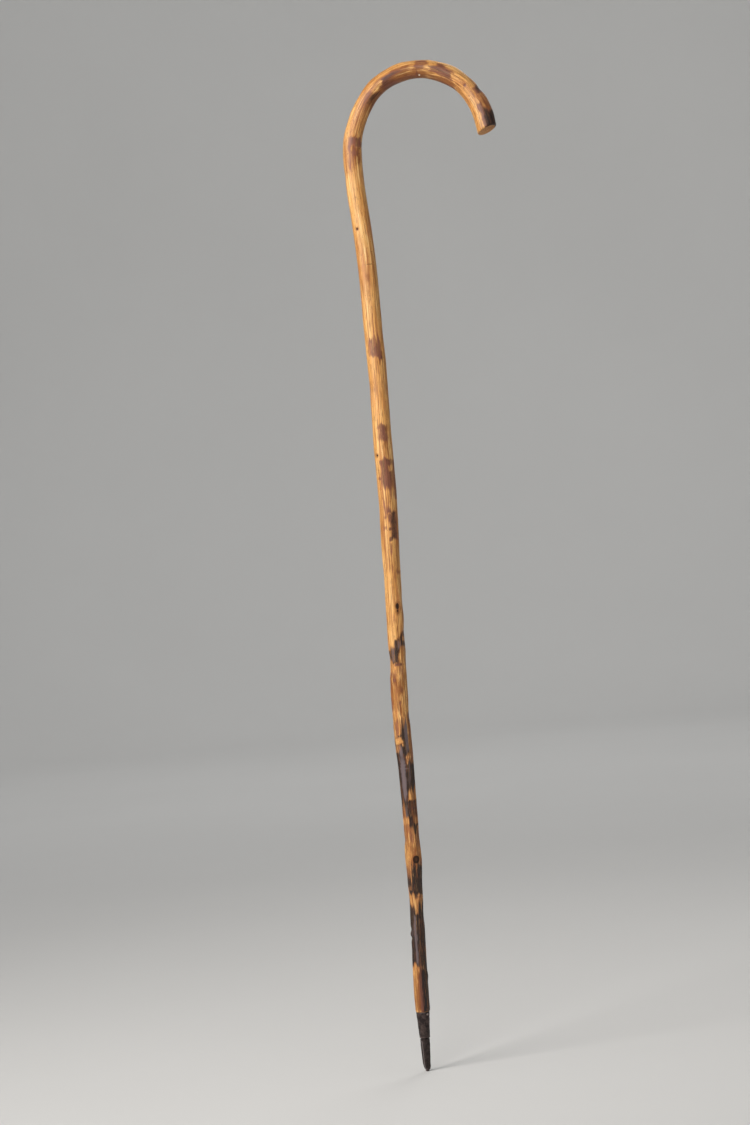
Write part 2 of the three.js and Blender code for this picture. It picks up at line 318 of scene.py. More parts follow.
# Knots, dents, pits and nicks: along, turn, height (a hollow if below 0), half-length, half-width.
BUMPS = [
    (85, 78, 0.7, 4, 3.5), (119.5, -82, -0.9, 2.6, 5), (123, -75, 0.5, 2, 4), (127, -82, -0.8, 2.4, 5),
    (138, -60, 0.3, 4, 3), (190, 19, 0.5, 5.5, 4.5), (190, 19, -0.75, 2.0, 2.0), (207, -75, -0.5, 3, 4),
    (243, 40, 0.3, 3, 6), (281, 25, 0.35, 2.2, 4), (295, -40, 0.45, 4, 4.5), (308, -75, 0.5, 4, 3),
    (317, 65, -0.6, 5, 4), (352, -27, 0.3, 4, 3), (359, -80, -0.7, 4, 5), (368, -85, -1.1, 6, 5.5),
    (383, 70, -0.5, 5, 4), (393, 70, -0.4, 3, 4), (415, 22, -0.7, 1.6, 1.4), (415, 22, 0.3, 5, 4),
    (446, -78, -0.5, 7, 4), (446, 50, 0.3, 5, 4), (551, -42, -0.5, 0.8, 1.0), (551, -42, 0.2, 3, 3),
    (637, 32, 0.35, 3.5, 3.5), (612, -80, -0.35, 6, 4), (721, 16, -0.28, 0.5, 5.0),
    (753.5, -33, -0.55, 0.8, 1.1), (803, -80, -0.5, 5, 4), (822, 44, 0.5, 4, 3.5),
    (822, 46, -0.5, 1.4, 1.2), (928, 52, -0.5, 1.5, 1.8), (928, 45, 0.4, 5, 4), (974, 8, -0.25, 1.2, 1.6),
    (983, -84, -0.6, 3.5, 6.5), (991, -78, 0.2, 4.5, 6), (984.5, 30, -0.3, 0.7, 0.7),
    (857, -84, 0.3, 4, 5), (871, -88, -0.3, 4, 5), (886, -86, 0.35, 5, 5), (902, -90, -0.25, 3, 5),
    (914, -84, 0.3, 4, 5), (936, -88, 0.35, 3, 5), (945, -80, -0.3, 3, 4), (958, -86, 0.35, 4, 5),
    (970, -84, -0.3, 4, 4), (1006, -82, 0.25, 4, 5), (940, 84, 0.3, 5, 5), (966, 80, -0.3, 5, 5),
    (150, 165, 0.7, 7, 6), (234, -160, 0.6, 6, 6), (234, -160, -0.5, 1.6, 1.8), (330, 150, 0.3, 5, 4),
    (455, -170, 0.6, 8, 6), (455, -170, -0.3, 1.4, 1.5), (500, 120, -0.4, 0.9, 1),
    (590, 155, -0.5, 1.2, 1.4), (690, 178, 0.5, 8, 6), (690, 178, -0.3, 1.5, 1.4),
    (775, -140, -0.4, 0.9, 1), (868, 165, 0.5, 7, 5), (868, 165, -0.3, 1.3, 1.4), (950, -150, 0.5, 6, 5),
    (1002, 160, -0.4, 0.8, 1),
]
BUMP_SPAN = 3  # a bump is left off beyond this many half-lengths
CALMING = (300, 560)  # the rugged lower part smooths out between these heights
CROOK_START = (800, 900)  # and the lumpier crook begins between these

# Lumps of one size a row: how many round the stick, their length, seed, and their height everywhere, with
# what the rugged lower part and the crook add to it.
LUMPS = [
    (5, 14.0, 21, 0.13, 0.17, 0.15),
    (22, 11.0, 22, 0.03, 0.08, 0.06),
    (38, 26.0, 23, 0.03, 0.04, 0.0),
]


def flutes(along, turn):
    """Long ridges and hollows of the grown wood, from -1 to 1, which wander as they climb."""
    x, y = around(turn, 7.5)
    drift = 0.35 * noise(x * 0.8, y * 0.8, along / 55.0, 11)
    ridged = 1.0 - 2.0 * np.abs(noise(x + drift, y - drift, along / 120.0, 3))
    x, y = around(turn, 15)
    return 0.7 * ridged + 0.3 * noise(x, y, along / 60.0, 5)


def relief(along, turn, radius):
    """How far the surface stands off the smooth stick, in millimetres."""
    rugged = 1.0 - smooth(*CALMING, along)
    on_crook = smooth(*CROOK_START, along)
    height = flutes(along, turn) * (0.13 + 0.40 * rugged + 0.06 * on_crook)
    for cells, length, seed, everywhere, low_down, up_top in LUMPS:
        x, y = around(turn, cells)
        size = everywhere + low_down * rugged + up_top * on_crook
        height = height + noise(x, y, along / length, seed) * size
    for at, facing, rise, half_length, half_width in BUMPS:
        near = np.abs(along - at) < half_length * BUMP_SPAN
        if not near.any():
            continue
        across = np.radians(apart(turn, facing)) * radius / half_width
        bump = rise * np.exp(-(((along - at) / half_length) ** 2) - across ** 2)
        height = height + np.where(near, bump, 0)
    return height


# ---- scorch marks

# Marks by tone, in the order they are laid. Each is strength, along from and to, turn from and to, and how
# softly its lower and upper ends fade, or one number for both. "amber" takes the char off where warm wood
# shows through low down, and "clear" takes off char and scorch. The other tones add to their own layer.
MARKS = {
    "amber": [
        (1.0, 50, 95.5, -100, -6, 1, 2), (0.6, 50, 92, -10, 10, 1, 3), (0.35, 91.5, 95, -5, 36, 1),
        (0.75, 147.5, 157.5, -9, 100, 4, 1), (0.95, 152, 162, -170, -11, 3, 2),
        (0.65, 170, 186, -84, -22, 6, 5), (0.6, 182, 222, 44, 96, 6), (1.0, 184, 216, -84, 46, 3, 5),
        (0.6, 212, 224, -90, -12, 4, 2), (1.0, 221.5, 228.5, -150, -10, 1, 2),
        (1.0, 222.5, 229, 30, 100, 1, 1.5), (0.6, 228, 242, -95, -42, 2, 8),
        (0.45, 228, 244, 12, 90, 2, 4), (1.0, 243.2, 252, -4, 120, 0.5, 3.5),
        (0.55, 275.5, 284, 2, 100, 1.5), (0.9, 280.6, 282, 12, 48, 0.4), (0.6, 284, 312, 40, 110, 3),
        (0.6, 285.5, 293, -80, -26, 1.5, 2), (1.0, 292.8, 298.2, -64, -4, 0.8, 1),
        (0.95, 299, 320, -100, -16, 2, 3), (0.3, 312, 320, 8, 52, 2), (1.0, 317, 366, -110, 6, 2.5, 2),
        (1.0, 318.5, 366, 0, 60, 1.5, 2), (1.0, 321, 366, 46, 200, 2),
    ],
    "char": [
        (1.0, 364.5, 386, -14, 6, 1), (0.85, 366, 376, -100, -46, 1.5, 1),
        (0.75, 366, 379, -48, -28, 1, 1.2), (0.8, 366, 382, -30, -12, 1, 1.2),
        (0.6, 373, 389, 4, 22, 3, 1), (0.7, 379, 391, 20, 42, 2, 1), (0.75, 379.5, 384.5, 42, 110, 1),
        (0.75, 388, 392.5, 40, 100, 1, 1.5), (0.66, 475, 500.5, 15, 46, 1, 2),
        (0.3, 527, 546, 8, 16, 3, 1), (0.3, 530, 545, -22, -12, 3), (0.3, 545, 547, 0, 84, 0.6, 0.4),
        (0.25, 640, 653, 7, 17, 2), (0.7, 864, 881, 16, 34, 3, 4), (0.6, 868, 886, 34, 60, 3, 4),
        (0.5, 893.5, 904, -9, 30, 0.8, 5), (0.35, 944, 949.5, -38, -8, 1.5, 1),
        (0.55, 980, 988, -110, -26, 0.8), (0.85, 1004, 1030, -100, -4, 2, 1),
    ],
    "scorch": [
        (0.8, 54, 92, -9, 34, 2, 3), (0.5, 155.5, 157.2, -5, 90, 0.4), (0.4, 170, 184, -84, -24, 4, 6),
        (0.7, 184, 189, 52, 110, 2), (0.55, 200, 217, 36, 84, 3), (0.5, 205, 213, -16, 12, 2),
        (0.55, 206, 211, -84, -58, 1), (0.4, 212, 222, -40, 20, 3, 2),
        (0.7, 234.5, 236.5, 14, 84, 0.5, 0.8), (0.5, 300, 313, -48, -26, 2),
        (0.75, 312.5, 321.5, 50, 100, 1.5), (0.5, 322, 333, -90, -60, 2, 3),
        (0.6, 328.5, 331.5, -8, 6, 0.8), (0.55, 339, 345, 6, 26, 1.5, 2),
        (0.85, 348.5, 351.5, -34, -21, 0.9), (0.45, 352, 361, 8, 34, 3), (0.55, 354, 357, -62, -46, 0.8),
        (0.9, 362.9, 365, -18, 30, 0.6), (0.35, 414.6, 415.6, 28, 52, 0.4), (0.25, 438, 452, 6, 44, 3),
        (0.45, 444.5, 448.5, 32, 70, 1.5), (0.45, 461, 473, -2, 12, 2),
        (0.95, 474, 477.5, -3, 14, 0.6, 1), (0.7, 475, 501, 10, 56, 1, 2), (0.9, 484, 486.4, -4, 12, 0.6),
        (0.5, 484, 487, -42, -12, 0.8), (0.9, 491.5, 497, -3, 13, 0.8, 1),
        (0.5, 494, 496.5, -32, -14, 0.7), (0.45, 497, 508, -30, 0, 3), (0.8, 499, 504, -2, 20, 1, 2),
        (0.62, 519, 546.8, 24, 88, 5, 0.6), (0.75, 520.5, 546.8, 2, 30, 3, 0.6),
        (0.72, 524, 546.8, -29, 8, 3, 1.2), (0.6, 529, 531.5, -54, -28, 0.8),
        (0.6, 563, 577.5, -12, 34, 0.8, 1.2), (0.45, 563.5, 577, 4, 24, 0.8, 1),
        (0.35, 573.5, 576.8, -38, -10, 1), (0.22, 608, 612, -48, -18, 1.5), (0.25, 608, 617, 14, 55, 3),
        (0.8, 635.6, 638.6, 23, 37, 0.6), (0.74, 636.5, 656, 4, 34, 1, 3),
        (0.62, 637, 656, -28, -2, 1, 2), (0.45, 638, 655, -50, -22, 1, 1.5),
        (0.22, 806, 832, -56, -18, 5, 4), (0.3, 808, 818, -30, 8, 3), (0.55, 817.5, 823.5, 6, 34, 1.5),
        (0.72, 825.5, 836, -24, 52, 2, 0.7), (0.6, 827, 832, 40, 88, 1), (0.25, 846, 860, 6, 30, 5),
        # Painted shade under the crook: the row at along 890 to 908 over turns 24 to 100.
        (0.5, 857, 882, -4, 30, 4, 5), (0.3, 862, 876, -34, 2, 4), (0.6, 890, 908, 24, 100, 4, 6),
        (0.8, 893, 908, -13, 22, 0.7, 5), (0.3, 908, 926, 34, 60, 3),
        (0.55, 924.8, 926.2, 10, 60, 0.4, 0.6), (0.62, 926, 935.5, -62, 2, 1, 1.2),
        (0.66, 940.5, 958, -12, 28, 2, 1.5), (0.8, 943, 950.5, -44, -8, 1.5),
        (0.4, 948, 960, -22, 42, 3, 2), (0.8, 972.8, 975.2, 0, 16, 0.7),
        (0.85, 979.5, 988.5, -110, -16, 0.8), (0.8, 984.1, 985.0, 26, 33, 0.3),
        (0.35, 989, 1000, -70, -10, 1.5, 2), (0.72, 995.5, 1005, -7, 20, 0.7, 1.5),
        (0.5, 1000, 1016, 4, 16, 2, 3), (0.9, 1003, 1030, -120, 6, 1.5, 1),
    ],
    "stain_and_shade": [
        # Partly painted shade that darkens the foot: the two rows at along 54 to 93.
        (0.5, 54, 88, -64, -10, 2, 8), (1.0, 54, 93, -18, 26, 2, 3), (0.7, 183, 200, -4, 46, 3),
        (0.9, 185, 191, -9, 2, 1.5, 2), (0.4, 186, 222, -84, 46, 4, 6), (0.5, 222, 252, 14, 90, 3, 4),
        (0.9, 222, 228.5, -10, 30, 1), (0.5, 228, 241, -90, -46, 2, 5), (0.45, 229, 243, 12, 80, 2, 4),
        (0.5, 276, 284, 10, 90, 1, 2), (0.5, 286, 311, 40, 100, 3), (0.4, 299, 316, -90, -50, 2),
        (0.7, 321, 329, -20, 4, 2, 3), (0.35, 322, 364, -84, 80, 4), (0.4, 330, 342, 60, 100, 5),
        (0.8, 338, 349, -2, 30, 2, 3), (0.4, 340, 352, -90, -66, 3), (0.7, 344, 354, -84, -56, 2),
        (0.9, 346, 356, -42, -18, 1.5), (0.4, 364, 384, 34, 80, 3), (0.5, 392, 412, 42, 95, 6),
        (1.0, 408.5, 417.5, 8, 38, 2, 1.5), (0.35, 452, 476, 44, 95, 6), (0.3, 486, 505, 44, 90, 6),
        (0.4, 549.5, 553, -60, -28, 0.8, 1), (0.5, 558.5, 565, 5, 22, 2, 1),
        (0.5, 562, 577.5, -26, 46, 1), (0.7, 633.5, 642, 10, 44, 1.5), (0.4, 654, 660, 6, 24, 2),
        (0.35, 706, 713, -16, 14, 2, 1), (0.3, 751, 756, -44, -22, 2), (0.6, 808.5, 817, 12, 48, 2),
        # Painted shade on the inside of the crook: the rows over turns 14 to 100 between along 838 and 970.
        (1.0, 816.5, 825.5, -2, 40, 2, 1), (0.35, 838, 864, 14, 100, 8, 4),
        (0.8, 862, 892, 26, 100, 5, 4), (0.9, 888, 932, 24, 100, 4, 5), (0.8, 893, 914, -14, 44, 1, 5),
        (0.5, 906, 920, -22, 30, 4, 3), (0.8, 922, 934, 0, 50, 2, 3), (0.85, 935, 970, 34, 90, 6),
        (0.5, 996, 1003, -70, -12, 1),
    ],
    # Rubbed grey char, laid mostly down the lit left side, so partly painted highlight.
    "worn": [
        (0.7, 97, 145, -24, -6, 3, 6), (0.35, 121, 135, -64, -20, 1, 5), (0.5, 228, 245, -44, -14, 3, 6),
        (0.75, 248, 284, -46, -8, 4, 6), (0.45, 256, 272, 8, 32, 4, 6), (0.6, 270.5, 271.6, -58, 10, 0.3),
        (0.6, 273.8, 274.8, -50, 4, 0.3), (0.55, 284, 314, 10, 38, 3), (0.5, 369, 384, -40, -18, 2),
        (0.55, 378, 388, 8, 30, 2),
    ],
    # Cracks drawn dark; the dark is partly painted shade inside them.
    "pit": [
        (0.6, 720.3, 721.1, -6, 38, 0.1), (0.4, 819.6, 820.6, 38, 52, 0.4),
        (0.5, 824.2, 825.4, 38, 54, 0.4),
    ],
    "chip": [(1.0, 927.4, 928.8, 46, 56, 0.3)],
    "clear": [(0.85, 536.6, 542, 20, 46, 0.6)],
}
TAKEN_OFF = {"amber": ("char",), "clear": ("char", "scorch")}
MARK_MARGIN = 8  # how far past a mark's ends its cover is worked out

# Knot eyes and worm holes: along, turn, radius across, length to width, darkness of ring and middle.
# The dark middles of the worm holes are partly painted shade in the holes.
EYES = [
    (190, 19, 2.4, 1.1, 1.0, 0.5), (415.6, 22, 1.1, 1.9, 0.9, 0.9), (411.6, 20, 0.7, 1.6, 0.5, 0.5),
    (551, -42, 0.55, 1.1, 0.7, 1.0), (753.5, -33, 0.55, 1.1, 0.8, 1.0), (234, -160, 2.4, 1.3, 0.8, 0.25),
    (330, 150, 2.0, 1.2, 0.7, 0.25), (455, -170, 2.4, 1.4, 0.7, 0.2), (590, 155, 1.0, 1.8, 0.8, 0.7),
    (690, 178, 2.3, 1.2, 0.65, 0.2), (500, 120, 0.5, 1.1, 0.7, 0.9), (775, -140, 0.5, 1.1, 0.7, 0.9),
    (868, 165, 2.2, 1.3, 0.65, 0.2), (1002, 160, 0.5, 1.1, 0.7, 0.9),
]
EYE_RADIUS = 8.0  # about the stick's own radius, which turns an angle into a width

BACK_MARKS = 46  # more marks on the half of the stick that faces away
BACK_AMBER = 18  # warm gaps in the char there
CHAR_END = (308, 324)  # the char round the lower part gives out between these heights


def back_marks():
    """Marks like those on the front, scattered over the far side, each with its tone."""
    made = []
    for _ in range(BACK_MARKS):
        at, facing = rng.uniform(330, 1005), rng.uniform(112, 248)
        half, wide = rng.uniform(1.2, 11), rng.uniform(9, 30)
        tone = rng.choice(["scorch", "scorch", "stain_and_shade"])
        fades = rng.uniform(0.5, 4, 2)
        strength = rng.uniform(0.4, 0.9)
        made.append((tone, (strength, at - half, at + half, facing - wide, facing + wide, *fades)))
    for _ in range(BACK_AMBER):
        at, facing = rng.uniform(70, 330), rng.uniform(110, 250)
        half, wide = rng.uniform(2, 8), rng.uniform(18, 50)
        strength = rng.uniform(0.5, 1.0)
        made.append(("amber", (strength, at - half, at + half, facing - wide, facing + wide, 2)))
    return made


def mark_cover(along, turn, mark, streak, wander):
    """How fully one mark covers each point. Its ends run out along the streaks of the grain."""
    strength, low, high, left, right, *fades = mark
    fade_low, fade_high = fades[0], fades[-1]
    room = min(1.0, (high - low) * 0.12)
    soft_low, soft_high = 0.3 + 1.1 * fade_low, 0.3 + 1.1 * fade_high
    up_low = along + streak * room * (0.5 + 1.3 * fade_low)
    up_high = along + streak * room * (0.5 + 1.3 * fade_high)
    above = smooth(low - soft_low, low + soft_low, up_low)
    below = 1 - smooth(high - soft_high, high + soft_high, up_high)
    middle, half = (left + right) / 2, (right - left) / 2
    edge = np.clip(half * 0.5, 3.5, 13.0)
    off = np.abs(apart(turn, middle)) + wander * np.minimum(5.0, half * 0.3)
    across = 1 - smooth(half - edge * 0.6, half + edge, off)
    return strength * above * below * across


def paint_eyes(layers, along, turn, wander):
    """Draws the knot eyes and worm holes as dark rings and middles in a stained patch."""
    for at, facing, radius, stretch, ring, middle in EYES:
        across = np.radians(apart(turn, facing)) * EYE_RADIUS
        far = np.hypot((along - at) / stretch, across) + 0.18 * radius * wander
        line = ring * np.exp(-(((far - radius) / (0.3 + 0.12 * radius)) ** 2))
        # the dark middle of a worm hole is partly painted shade
        dark = line + middle * (1 - smooth(radius * 0.7, radius * 1.1, far))
        layers["pit"] = np.maximum(layers["pit"], np.clip(dark, 0, 1))
        layers["stain_and_shade"] = np.maximum(layers["stain_and_shade"], np.exp(-((far / (radius * 2.2 + 0.8)) ** 2)))


def paint_marks(along, turn):
    """The cover of each tone at each point."""
    x, y = around(turn, 44)
    streak = noise(x, y, along / 30.0, 31)
    x, y = around(turn, 12)
    streak = streak + noise(x, y, along / 9.0, 35)
    wander = noise(x, y, along / 5.0, 32) + 0.5 * noise(x * 1.5, y * 1.5, along / 1.8, 36)
    patchy = noise(x, y, along / 6.0, 33)
    layers = {tone: np.zeros(along.shape) for tone in ("scorch", "stain_and_shade", "pit", "worn", "chip")}
    layers["char"] = 1 - smooth(*CHAR_END, along + 4.0 * streak)
    # a faint patchy stain, stronger on the crook, and stronger low down where it is partly painted shade
    # that darkens the lower shaft
    stained_and_shaded = 0.14 * (1 - smooth(380, 640, along)) + 0.16 * smooth(810, 880, along) + 0.05
    layers["stain_and_shade"] += np.clip(stained_and_shaded * (1 + 1.3 * patchy + 0.6 * streak), 0, 1)

    flat_along, flat_turn = along.ravel(), turn.ravel()
    front_marks = [(tone, mark) for tone, rows in MARKS.items() for mark in rows]
    for tone, mark in front_marks + back_marks():
        low, high = mark[1] - MARK_MARGIN, mark[2] + MARK_MARGIN
        near = np.flatnonzero((flat_along > low) & (flat_along < high))
        here = [layer.ravel()[near] for layer in (streak, wander)]
        cover = mark_cover(flat_along[near], flat_turn[near], mark, *here)
        for name in TAKEN_OFF.get(tone, ()):
            layers[name].reshape(-1)[near] *= 1 - cover
        if tone in layers:
            layer = layers[tone].reshape(-1)
            layer[near] = 1 - (1 - layer[near]) * (1 - cover)
    paint_eyes(layers, along, turn, wander)
    return layers


# ---- the stick

SIDES = 72
RING_TURNS = np.arange(SIDES) * 360.0 / SIDES
ROUND = np.ones(SIDES)
BARK_STEP = 0.76  # between rings of bark
ARRIS = 1.3  # rounding of the sawn end's edge
END_BLEND = 34.0  # length over which the rings lean over to lie along the saw cut
SETTLED = 1.5  # height over which the bark swells from the sleeve's rim
PARED = 0.35  # how much is pared off the bark at that rim
SAW_ROUGHNESS = 0.05


def foot_rings():
    """The tang's bore from its blind end down, then the tenon up to its shoulder, and out to the bark."""
    rings = [(ROUND * BORE_TOP, ROUND * radius, "inside") for radius in (BORE_NARROW * 0.5, BORE_NARROW)]
    for t in np.linspace(0.1, 1, 10):
        height = BORE_TOP + (TENON_END - BORE_TOP) * t
        rings.append((ROUND * height, ROUND * (BORE_NARROW + (BORE_WIDE - BORE_NARROW) * t), "inside"))
    for height in np.linspace(TENON_END, SHOULDER, 12):
        rings.append((ROUND * height, ROUND * tenon_radius(height), "inside"))
    neck, bark = tenon_radius(SHOULDER), thickness(ROUND * SHOULDER, RING_TURNS)
    for t in (0.35, 0.7, 0.93):
        rings.append((ROUND * SHOULDER, neck + (bark - neck) * t, "inside"))
    return rings


def saw_lean():
    """How far along the stick the saw cut runs per millimetre out from the middle, at each turn."""
    facing = np.array(END_FACING)
    _, side, back, tangent = [a[0] for a in frame_at(np.array([LENGTH]))]
    angles = np.radians(RING_TURNS)[:, None]
    out = np.sin(angles) * side - np.cos(angles) * back
    return -(out @ facing) / (tangent @ facing)


def bark_rings(lean):
    """The bark, up to where the edge of the sawn end begins to round over."""
    rings = []
    count = int((LENGTH - SHOULDER - ARRIS) / BARK_STEP)
    for base in np.linspace(SHOULDER + FIT, LENGTH - ARRIS, count):
        radius = thickness(ROUND * base, RING_TURNS)
        along = base + lean * radius * smooth(LENGTH - END_BLEND, LENGTH - ARRIS, base)
        radius = radius - PARED * (1 - smooth(SHOULDER, SHOULDER + SETTLED, base))
        rings.append((along, radius + relief(along, RING_TURNS, radius), "bark"))
    return rings


def end_rings(last, lean):
    """The rounded edge of the sawn end, and its face in towards the middle."""
    rings = []
    for t in np.linspace(0.2, 1, 5):
        angle = t * math.pi / 2
        radius = last - ARRIS * (1 - math.cos(angle))
        rings.append((LENGTH - ARRIS + ARRIS * math.sin(angle) + lean * radius, radius, "bark"))
    rim = rings[-1][1]
    x, y = around(RING_TURNS, 10)
    for t in np.linspace(0.93, 0.07, 14):
        rough = SAW_ROUGHNESS * noise(x * t, y * t, t * 9.0, 41)
        rings.append((LENGTH + lean * rim * t + rough, rim * t, "sawn"))
    return rings


def kind_mask(rings, kind):
    """1 at each point of the rings of that kind, and 0 at the others."""
    return np.stack([np.full(SIDES, ring[2] == kind, float) for ring in rings])


def with_caps(values, low, high):
    """Values for each ring point, then for the middle points that close the two ends."""
    return np.r_[values.reshape(-1), low, high]


def build_stick():
    lean = saw_lean()
    rings = foot_rings() + bark_rings(lean)
    rings += end_rings(rings[-1][1], lean)
    along = np.stack([ring[0] for ring in rings])
    radius = np.stack([ring[1] for ring in rings])
    turn = np.broadcast_to(RING_TURNS, along.shape)

    centre, side, back, _ = frame_at(along)
    sine, cosine = np.sin(np.radians(turn)), np.cos(np.radians(turn))
    points = centre + radius[..., None] * (sine[..., None] * side - cosine[..., None] * back)
    caps = centre_at(np.array([BORE_TOP, LENGTH]))
    made = mesh_object("stick_wood", np.r_[points.reshape(-1, 3), caps], skin(len(rings), SIDES))

    straight = np.stack([radius * sine, -radius * cosine, along], -1).reshape(-1, 3)
    straight = np.r_[straight, [[0, 0, BORE_TOP], [0, 0, LENGTH]]]
    put_attribute(made, "straight", "FLOAT_VECTOR", straight * MM)
    layers = paint_marks(along, turn)
    seen = 1 - kind_mask(rings, "inside")
    marks = [with_caps(layers[tone] * seen, 0, 0) for tone in ("scorch", "char", "stain_and_shade", "pit")]
    put_attribute(made, "marks", "FLOAT_COLOR", np.stack(marks, -1))
    surface = [with_caps(layers[tone], 0, 0) for tone in ("worn", "chip")]
    surface.append(with_caps(kind_mask(rings, "sawn"), 0, 1))
    surface.append(with_caps(np.clip(0.5 + 0.5 * flutes(along, turn), 0, 1), 0.5, 0.5))
    put_attribute(made, "surface", "FLOAT_COLOR", np.stack(surface, -1))
    return made


# ---- materials

class Recipe:
    """Builds one material's nodes."""

    def __init__(self, name):
        self.material = bpy.data.materials.new(name)
        self.material.use_nodes = True
        self.tree = self.material.node_tree
        self.shader = self.tree.nodes["Principled BSDF"]

    def node(self, kind, **settings):
        made = self.tree.nodes.new(kind)
        for key, value in settings.items():
            setattr(made, key, value)
        return made

    def feed(self, socket, value):
        if isinstance(value, bpy.types.NodeSocket):
            self.tree.links.new(value, socket)
        else:
            socket.default_value = value

    def set(self, **values):
        """Sets the shader's own sockets, named with underscores for spaces."""
        for key, value in values.items():
            self.feed(self.shader.inputs[key.replace("_", " ")], value)

    def attribute(self, name):
        return self.node("ShaderNodeAttribute", attribute_name=name)

    def split(self, kind, value):
        """The three parts of a colour or a vector."""
        made = self.node(kind)
        self.feed(made.inputs[0], value)
        return made.outputs[0], made.outputs[1], made.outputs[2]

    def math(self, operation, a, b=0.0, c=0.0, clamp=False):
        made = self.node("ShaderNodeMath", operation=operation, use_clamp=clamp)
        for socket, value in zip(made.inputs, (a, b, c)):
            self.feed(socket, value)
        return made.outputs[0]

    def stretched(self, vector, x, y, z):
        made = self.node("ShaderNodeVectorMath", operation="MULTIPLY")
        self.feed(made.inputs[0], vector)
        made.inputs[1].default_value = (x, y, z)
        return made.outputs[0]

    def noise(self, vector, scale=1.0, detail=3.0, rough=0.55, distortion=0.0):
        made = self.node("ShaderNodeTexNoise")
        self.feed(made.inputs["Vector"], vector)
        settings = {"Scale": scale, "Detail": detail, "Roughness": rough, "Distortion": distortion}
        for key, value in settings.items():
            made.inputs[key].default_value = value
        return made.outputs["Fac"]

    def ramp(self, value, low, high, to_low=0.0, to_high=1.0):
        """Value moved by an eased step from one range to another, held at both ends."""
        made = self.node("ShaderNodeMapRange", interpolation_type="SMOOTHSTEP")
        for socket, number in zip(made.inputs, (value, low, high, to_low, to_high)):
            self.feed(socket, number)
        return made.outputs[0]

    def mix(self, factor, a, b):
        made = self.node("ShaderNodeMix", data_type="RGBA")
        self.feed(made.inputs[0], factor)
        for socket, value in ((made.inputs[6], a), (made.inputs[7], b)):
            self.feed(socket, value if isinstance(value, bpy.types.NodeSocket) else (*value, 1.0))
        return made.outputs[2]

    def tints(self, under, *rows):
        """Lays colours over another, one a row: field, where it starts and is full, most cover, colour."""
        for field, low, high, most, colour in rows:
            under = self.mix(self.ramp(field, low, high, 0, most), under, srgb(*colour))
        return under

    def bump(self, height, distance, strength):
        made = self.node("ShaderNodeBump")
        made.inputs["Strength"].default_value = strength
        made.inputs["Distance"].default_value = distance
        self.feed(made.inputs["Height"], height)
        return made.outputs["Normal"]


def srgb(*screen):
    """A colour given as three screen values from 0 to 255."""
    return tuple(((c / 255 + 0.055) / 1.055) ** 2.4 if c > 10 else c / 255 / 12.92 for c in screen)


PITH = (0.0012, -0.0008)  # metres: where the growth rings have their middle, off the stick's own


class WoodFields:
    """The place on the unbent stick in metres, the layers painted there, and noises along the grain."""

    def __init__(self, r):
        straight = r.attribute("straight").outputs["Vector"]
        marks, surface = r.attribute("marks"), r.attribute("surface")
        self.x, self.y, self.along = r.split("ShaderNodeSeparateXYZ", straight)
        self.scorch, self.char, self.stain_and_shade = r.split("ShaderNodeSeparateColor", marks.outputs["Color"])
        self.pit = marks.outputs["Alpha"]
        self.worn, self.chip, self.sawn = r.split("ShaderNodeSeparateColor", surface.outputs["Color"])
        self.crest = surface.outputs["Alpha"]

        def grown(across, along, **settings):
            """Noise with so many cells in a metre across the grain and along it."""
            return r.noise(r.stretched(straight, across, across, along), **settings)

        self.fine = grown(2600, 70, detail=3, rough=0.6)
        self.grain = grown(1250, 26, detail=4, rough=0.55, distortion=0.3)
        self.broad = grown(170, 14, detail=3, rough=0.5)
        self.cloud = grown(60, 22, detail=2, rough=0.5)
        self.grit = grown(1500, 500, detail=4, rough=0.65)
        self.blush = grown(110, 60, detail=3, rough=0.6)
        freckles = grown(1150, 520, detail=2, rough=0.5)
        self.freckles = r.math("MULTIPLY_ADD", r.ramp(self.along, 0.79, 0.83), 0.05, freckles)
        self.dashes = grown(1250, 105, detail=2, rough=0.5)
        self.wobble = grown(260, 0, detail=3)
        self.years = grown(420, 0, detail=1)
        self.pores = grown(2300, 0, detail=2)


def bare_wood(r, f):
    """Debarked wood before the fire: pale and honey bands, painted shade in the hollows between the ridges,
    grain, freckles and dashes.
    """
    wood = r.mix(r.ramp(f.broad, 0.34, 0.64), srgb(214, 151, 79), srgb(234, 180, 108))
    wood = r.tints(
        wood,
        (f.cloud, 0.46, 0.75, 0.55, (174, 106, 48)),
        # painted shade: darker in the hollows between the ridges
        (f.crest, 0.55, 0.10, 0.5, (150, 84, 34)),
    )
    calmer_on_crook = r.ramp(f.along, 0.84, 0.94, 1.0, 0.68)
    dark_grain = r.math("MULTIPLY", r.ramp(f.grain, 0.46, 0.64, 0, 0.74), calmer_on_crook)
    wood = r.mix(dark_grain, wood, srgb(150, 86, 38))
    return r.tints(
        wood,
        (f.grain, 0.44, 0.34, 0.7, (246, 210, 148)),
        (f.fine, 0.50, 0.66, 0.62, (120, 66, 28)),
        (f.blush, 0.54, 0.74, 0.4, (186, 112, 72)),
        (f.freckles, 0.66, 0.74, 0.75, (112, 56, 26)),
        (f.dashes, 0.62, 0.72, 0.7, (104, 58, 26)),
    )


def cover(r, f, layer, low, high, streaks):
    """A painted mark's cover, broken up by the grain."""
    broken = layer
    for field, share in ((f.grain, 2.0), (f.fine, 1.0), (f.grit, 0.7)):
        broken = r.math("MULTIPLY_ADD", r.math("SUBTRACT", field, 0.5), streaks * share, broken)
    return r.math("MULTIPLY", r.ramp(broken, low, high), r.ramp(layer, 0.02, 0.25))


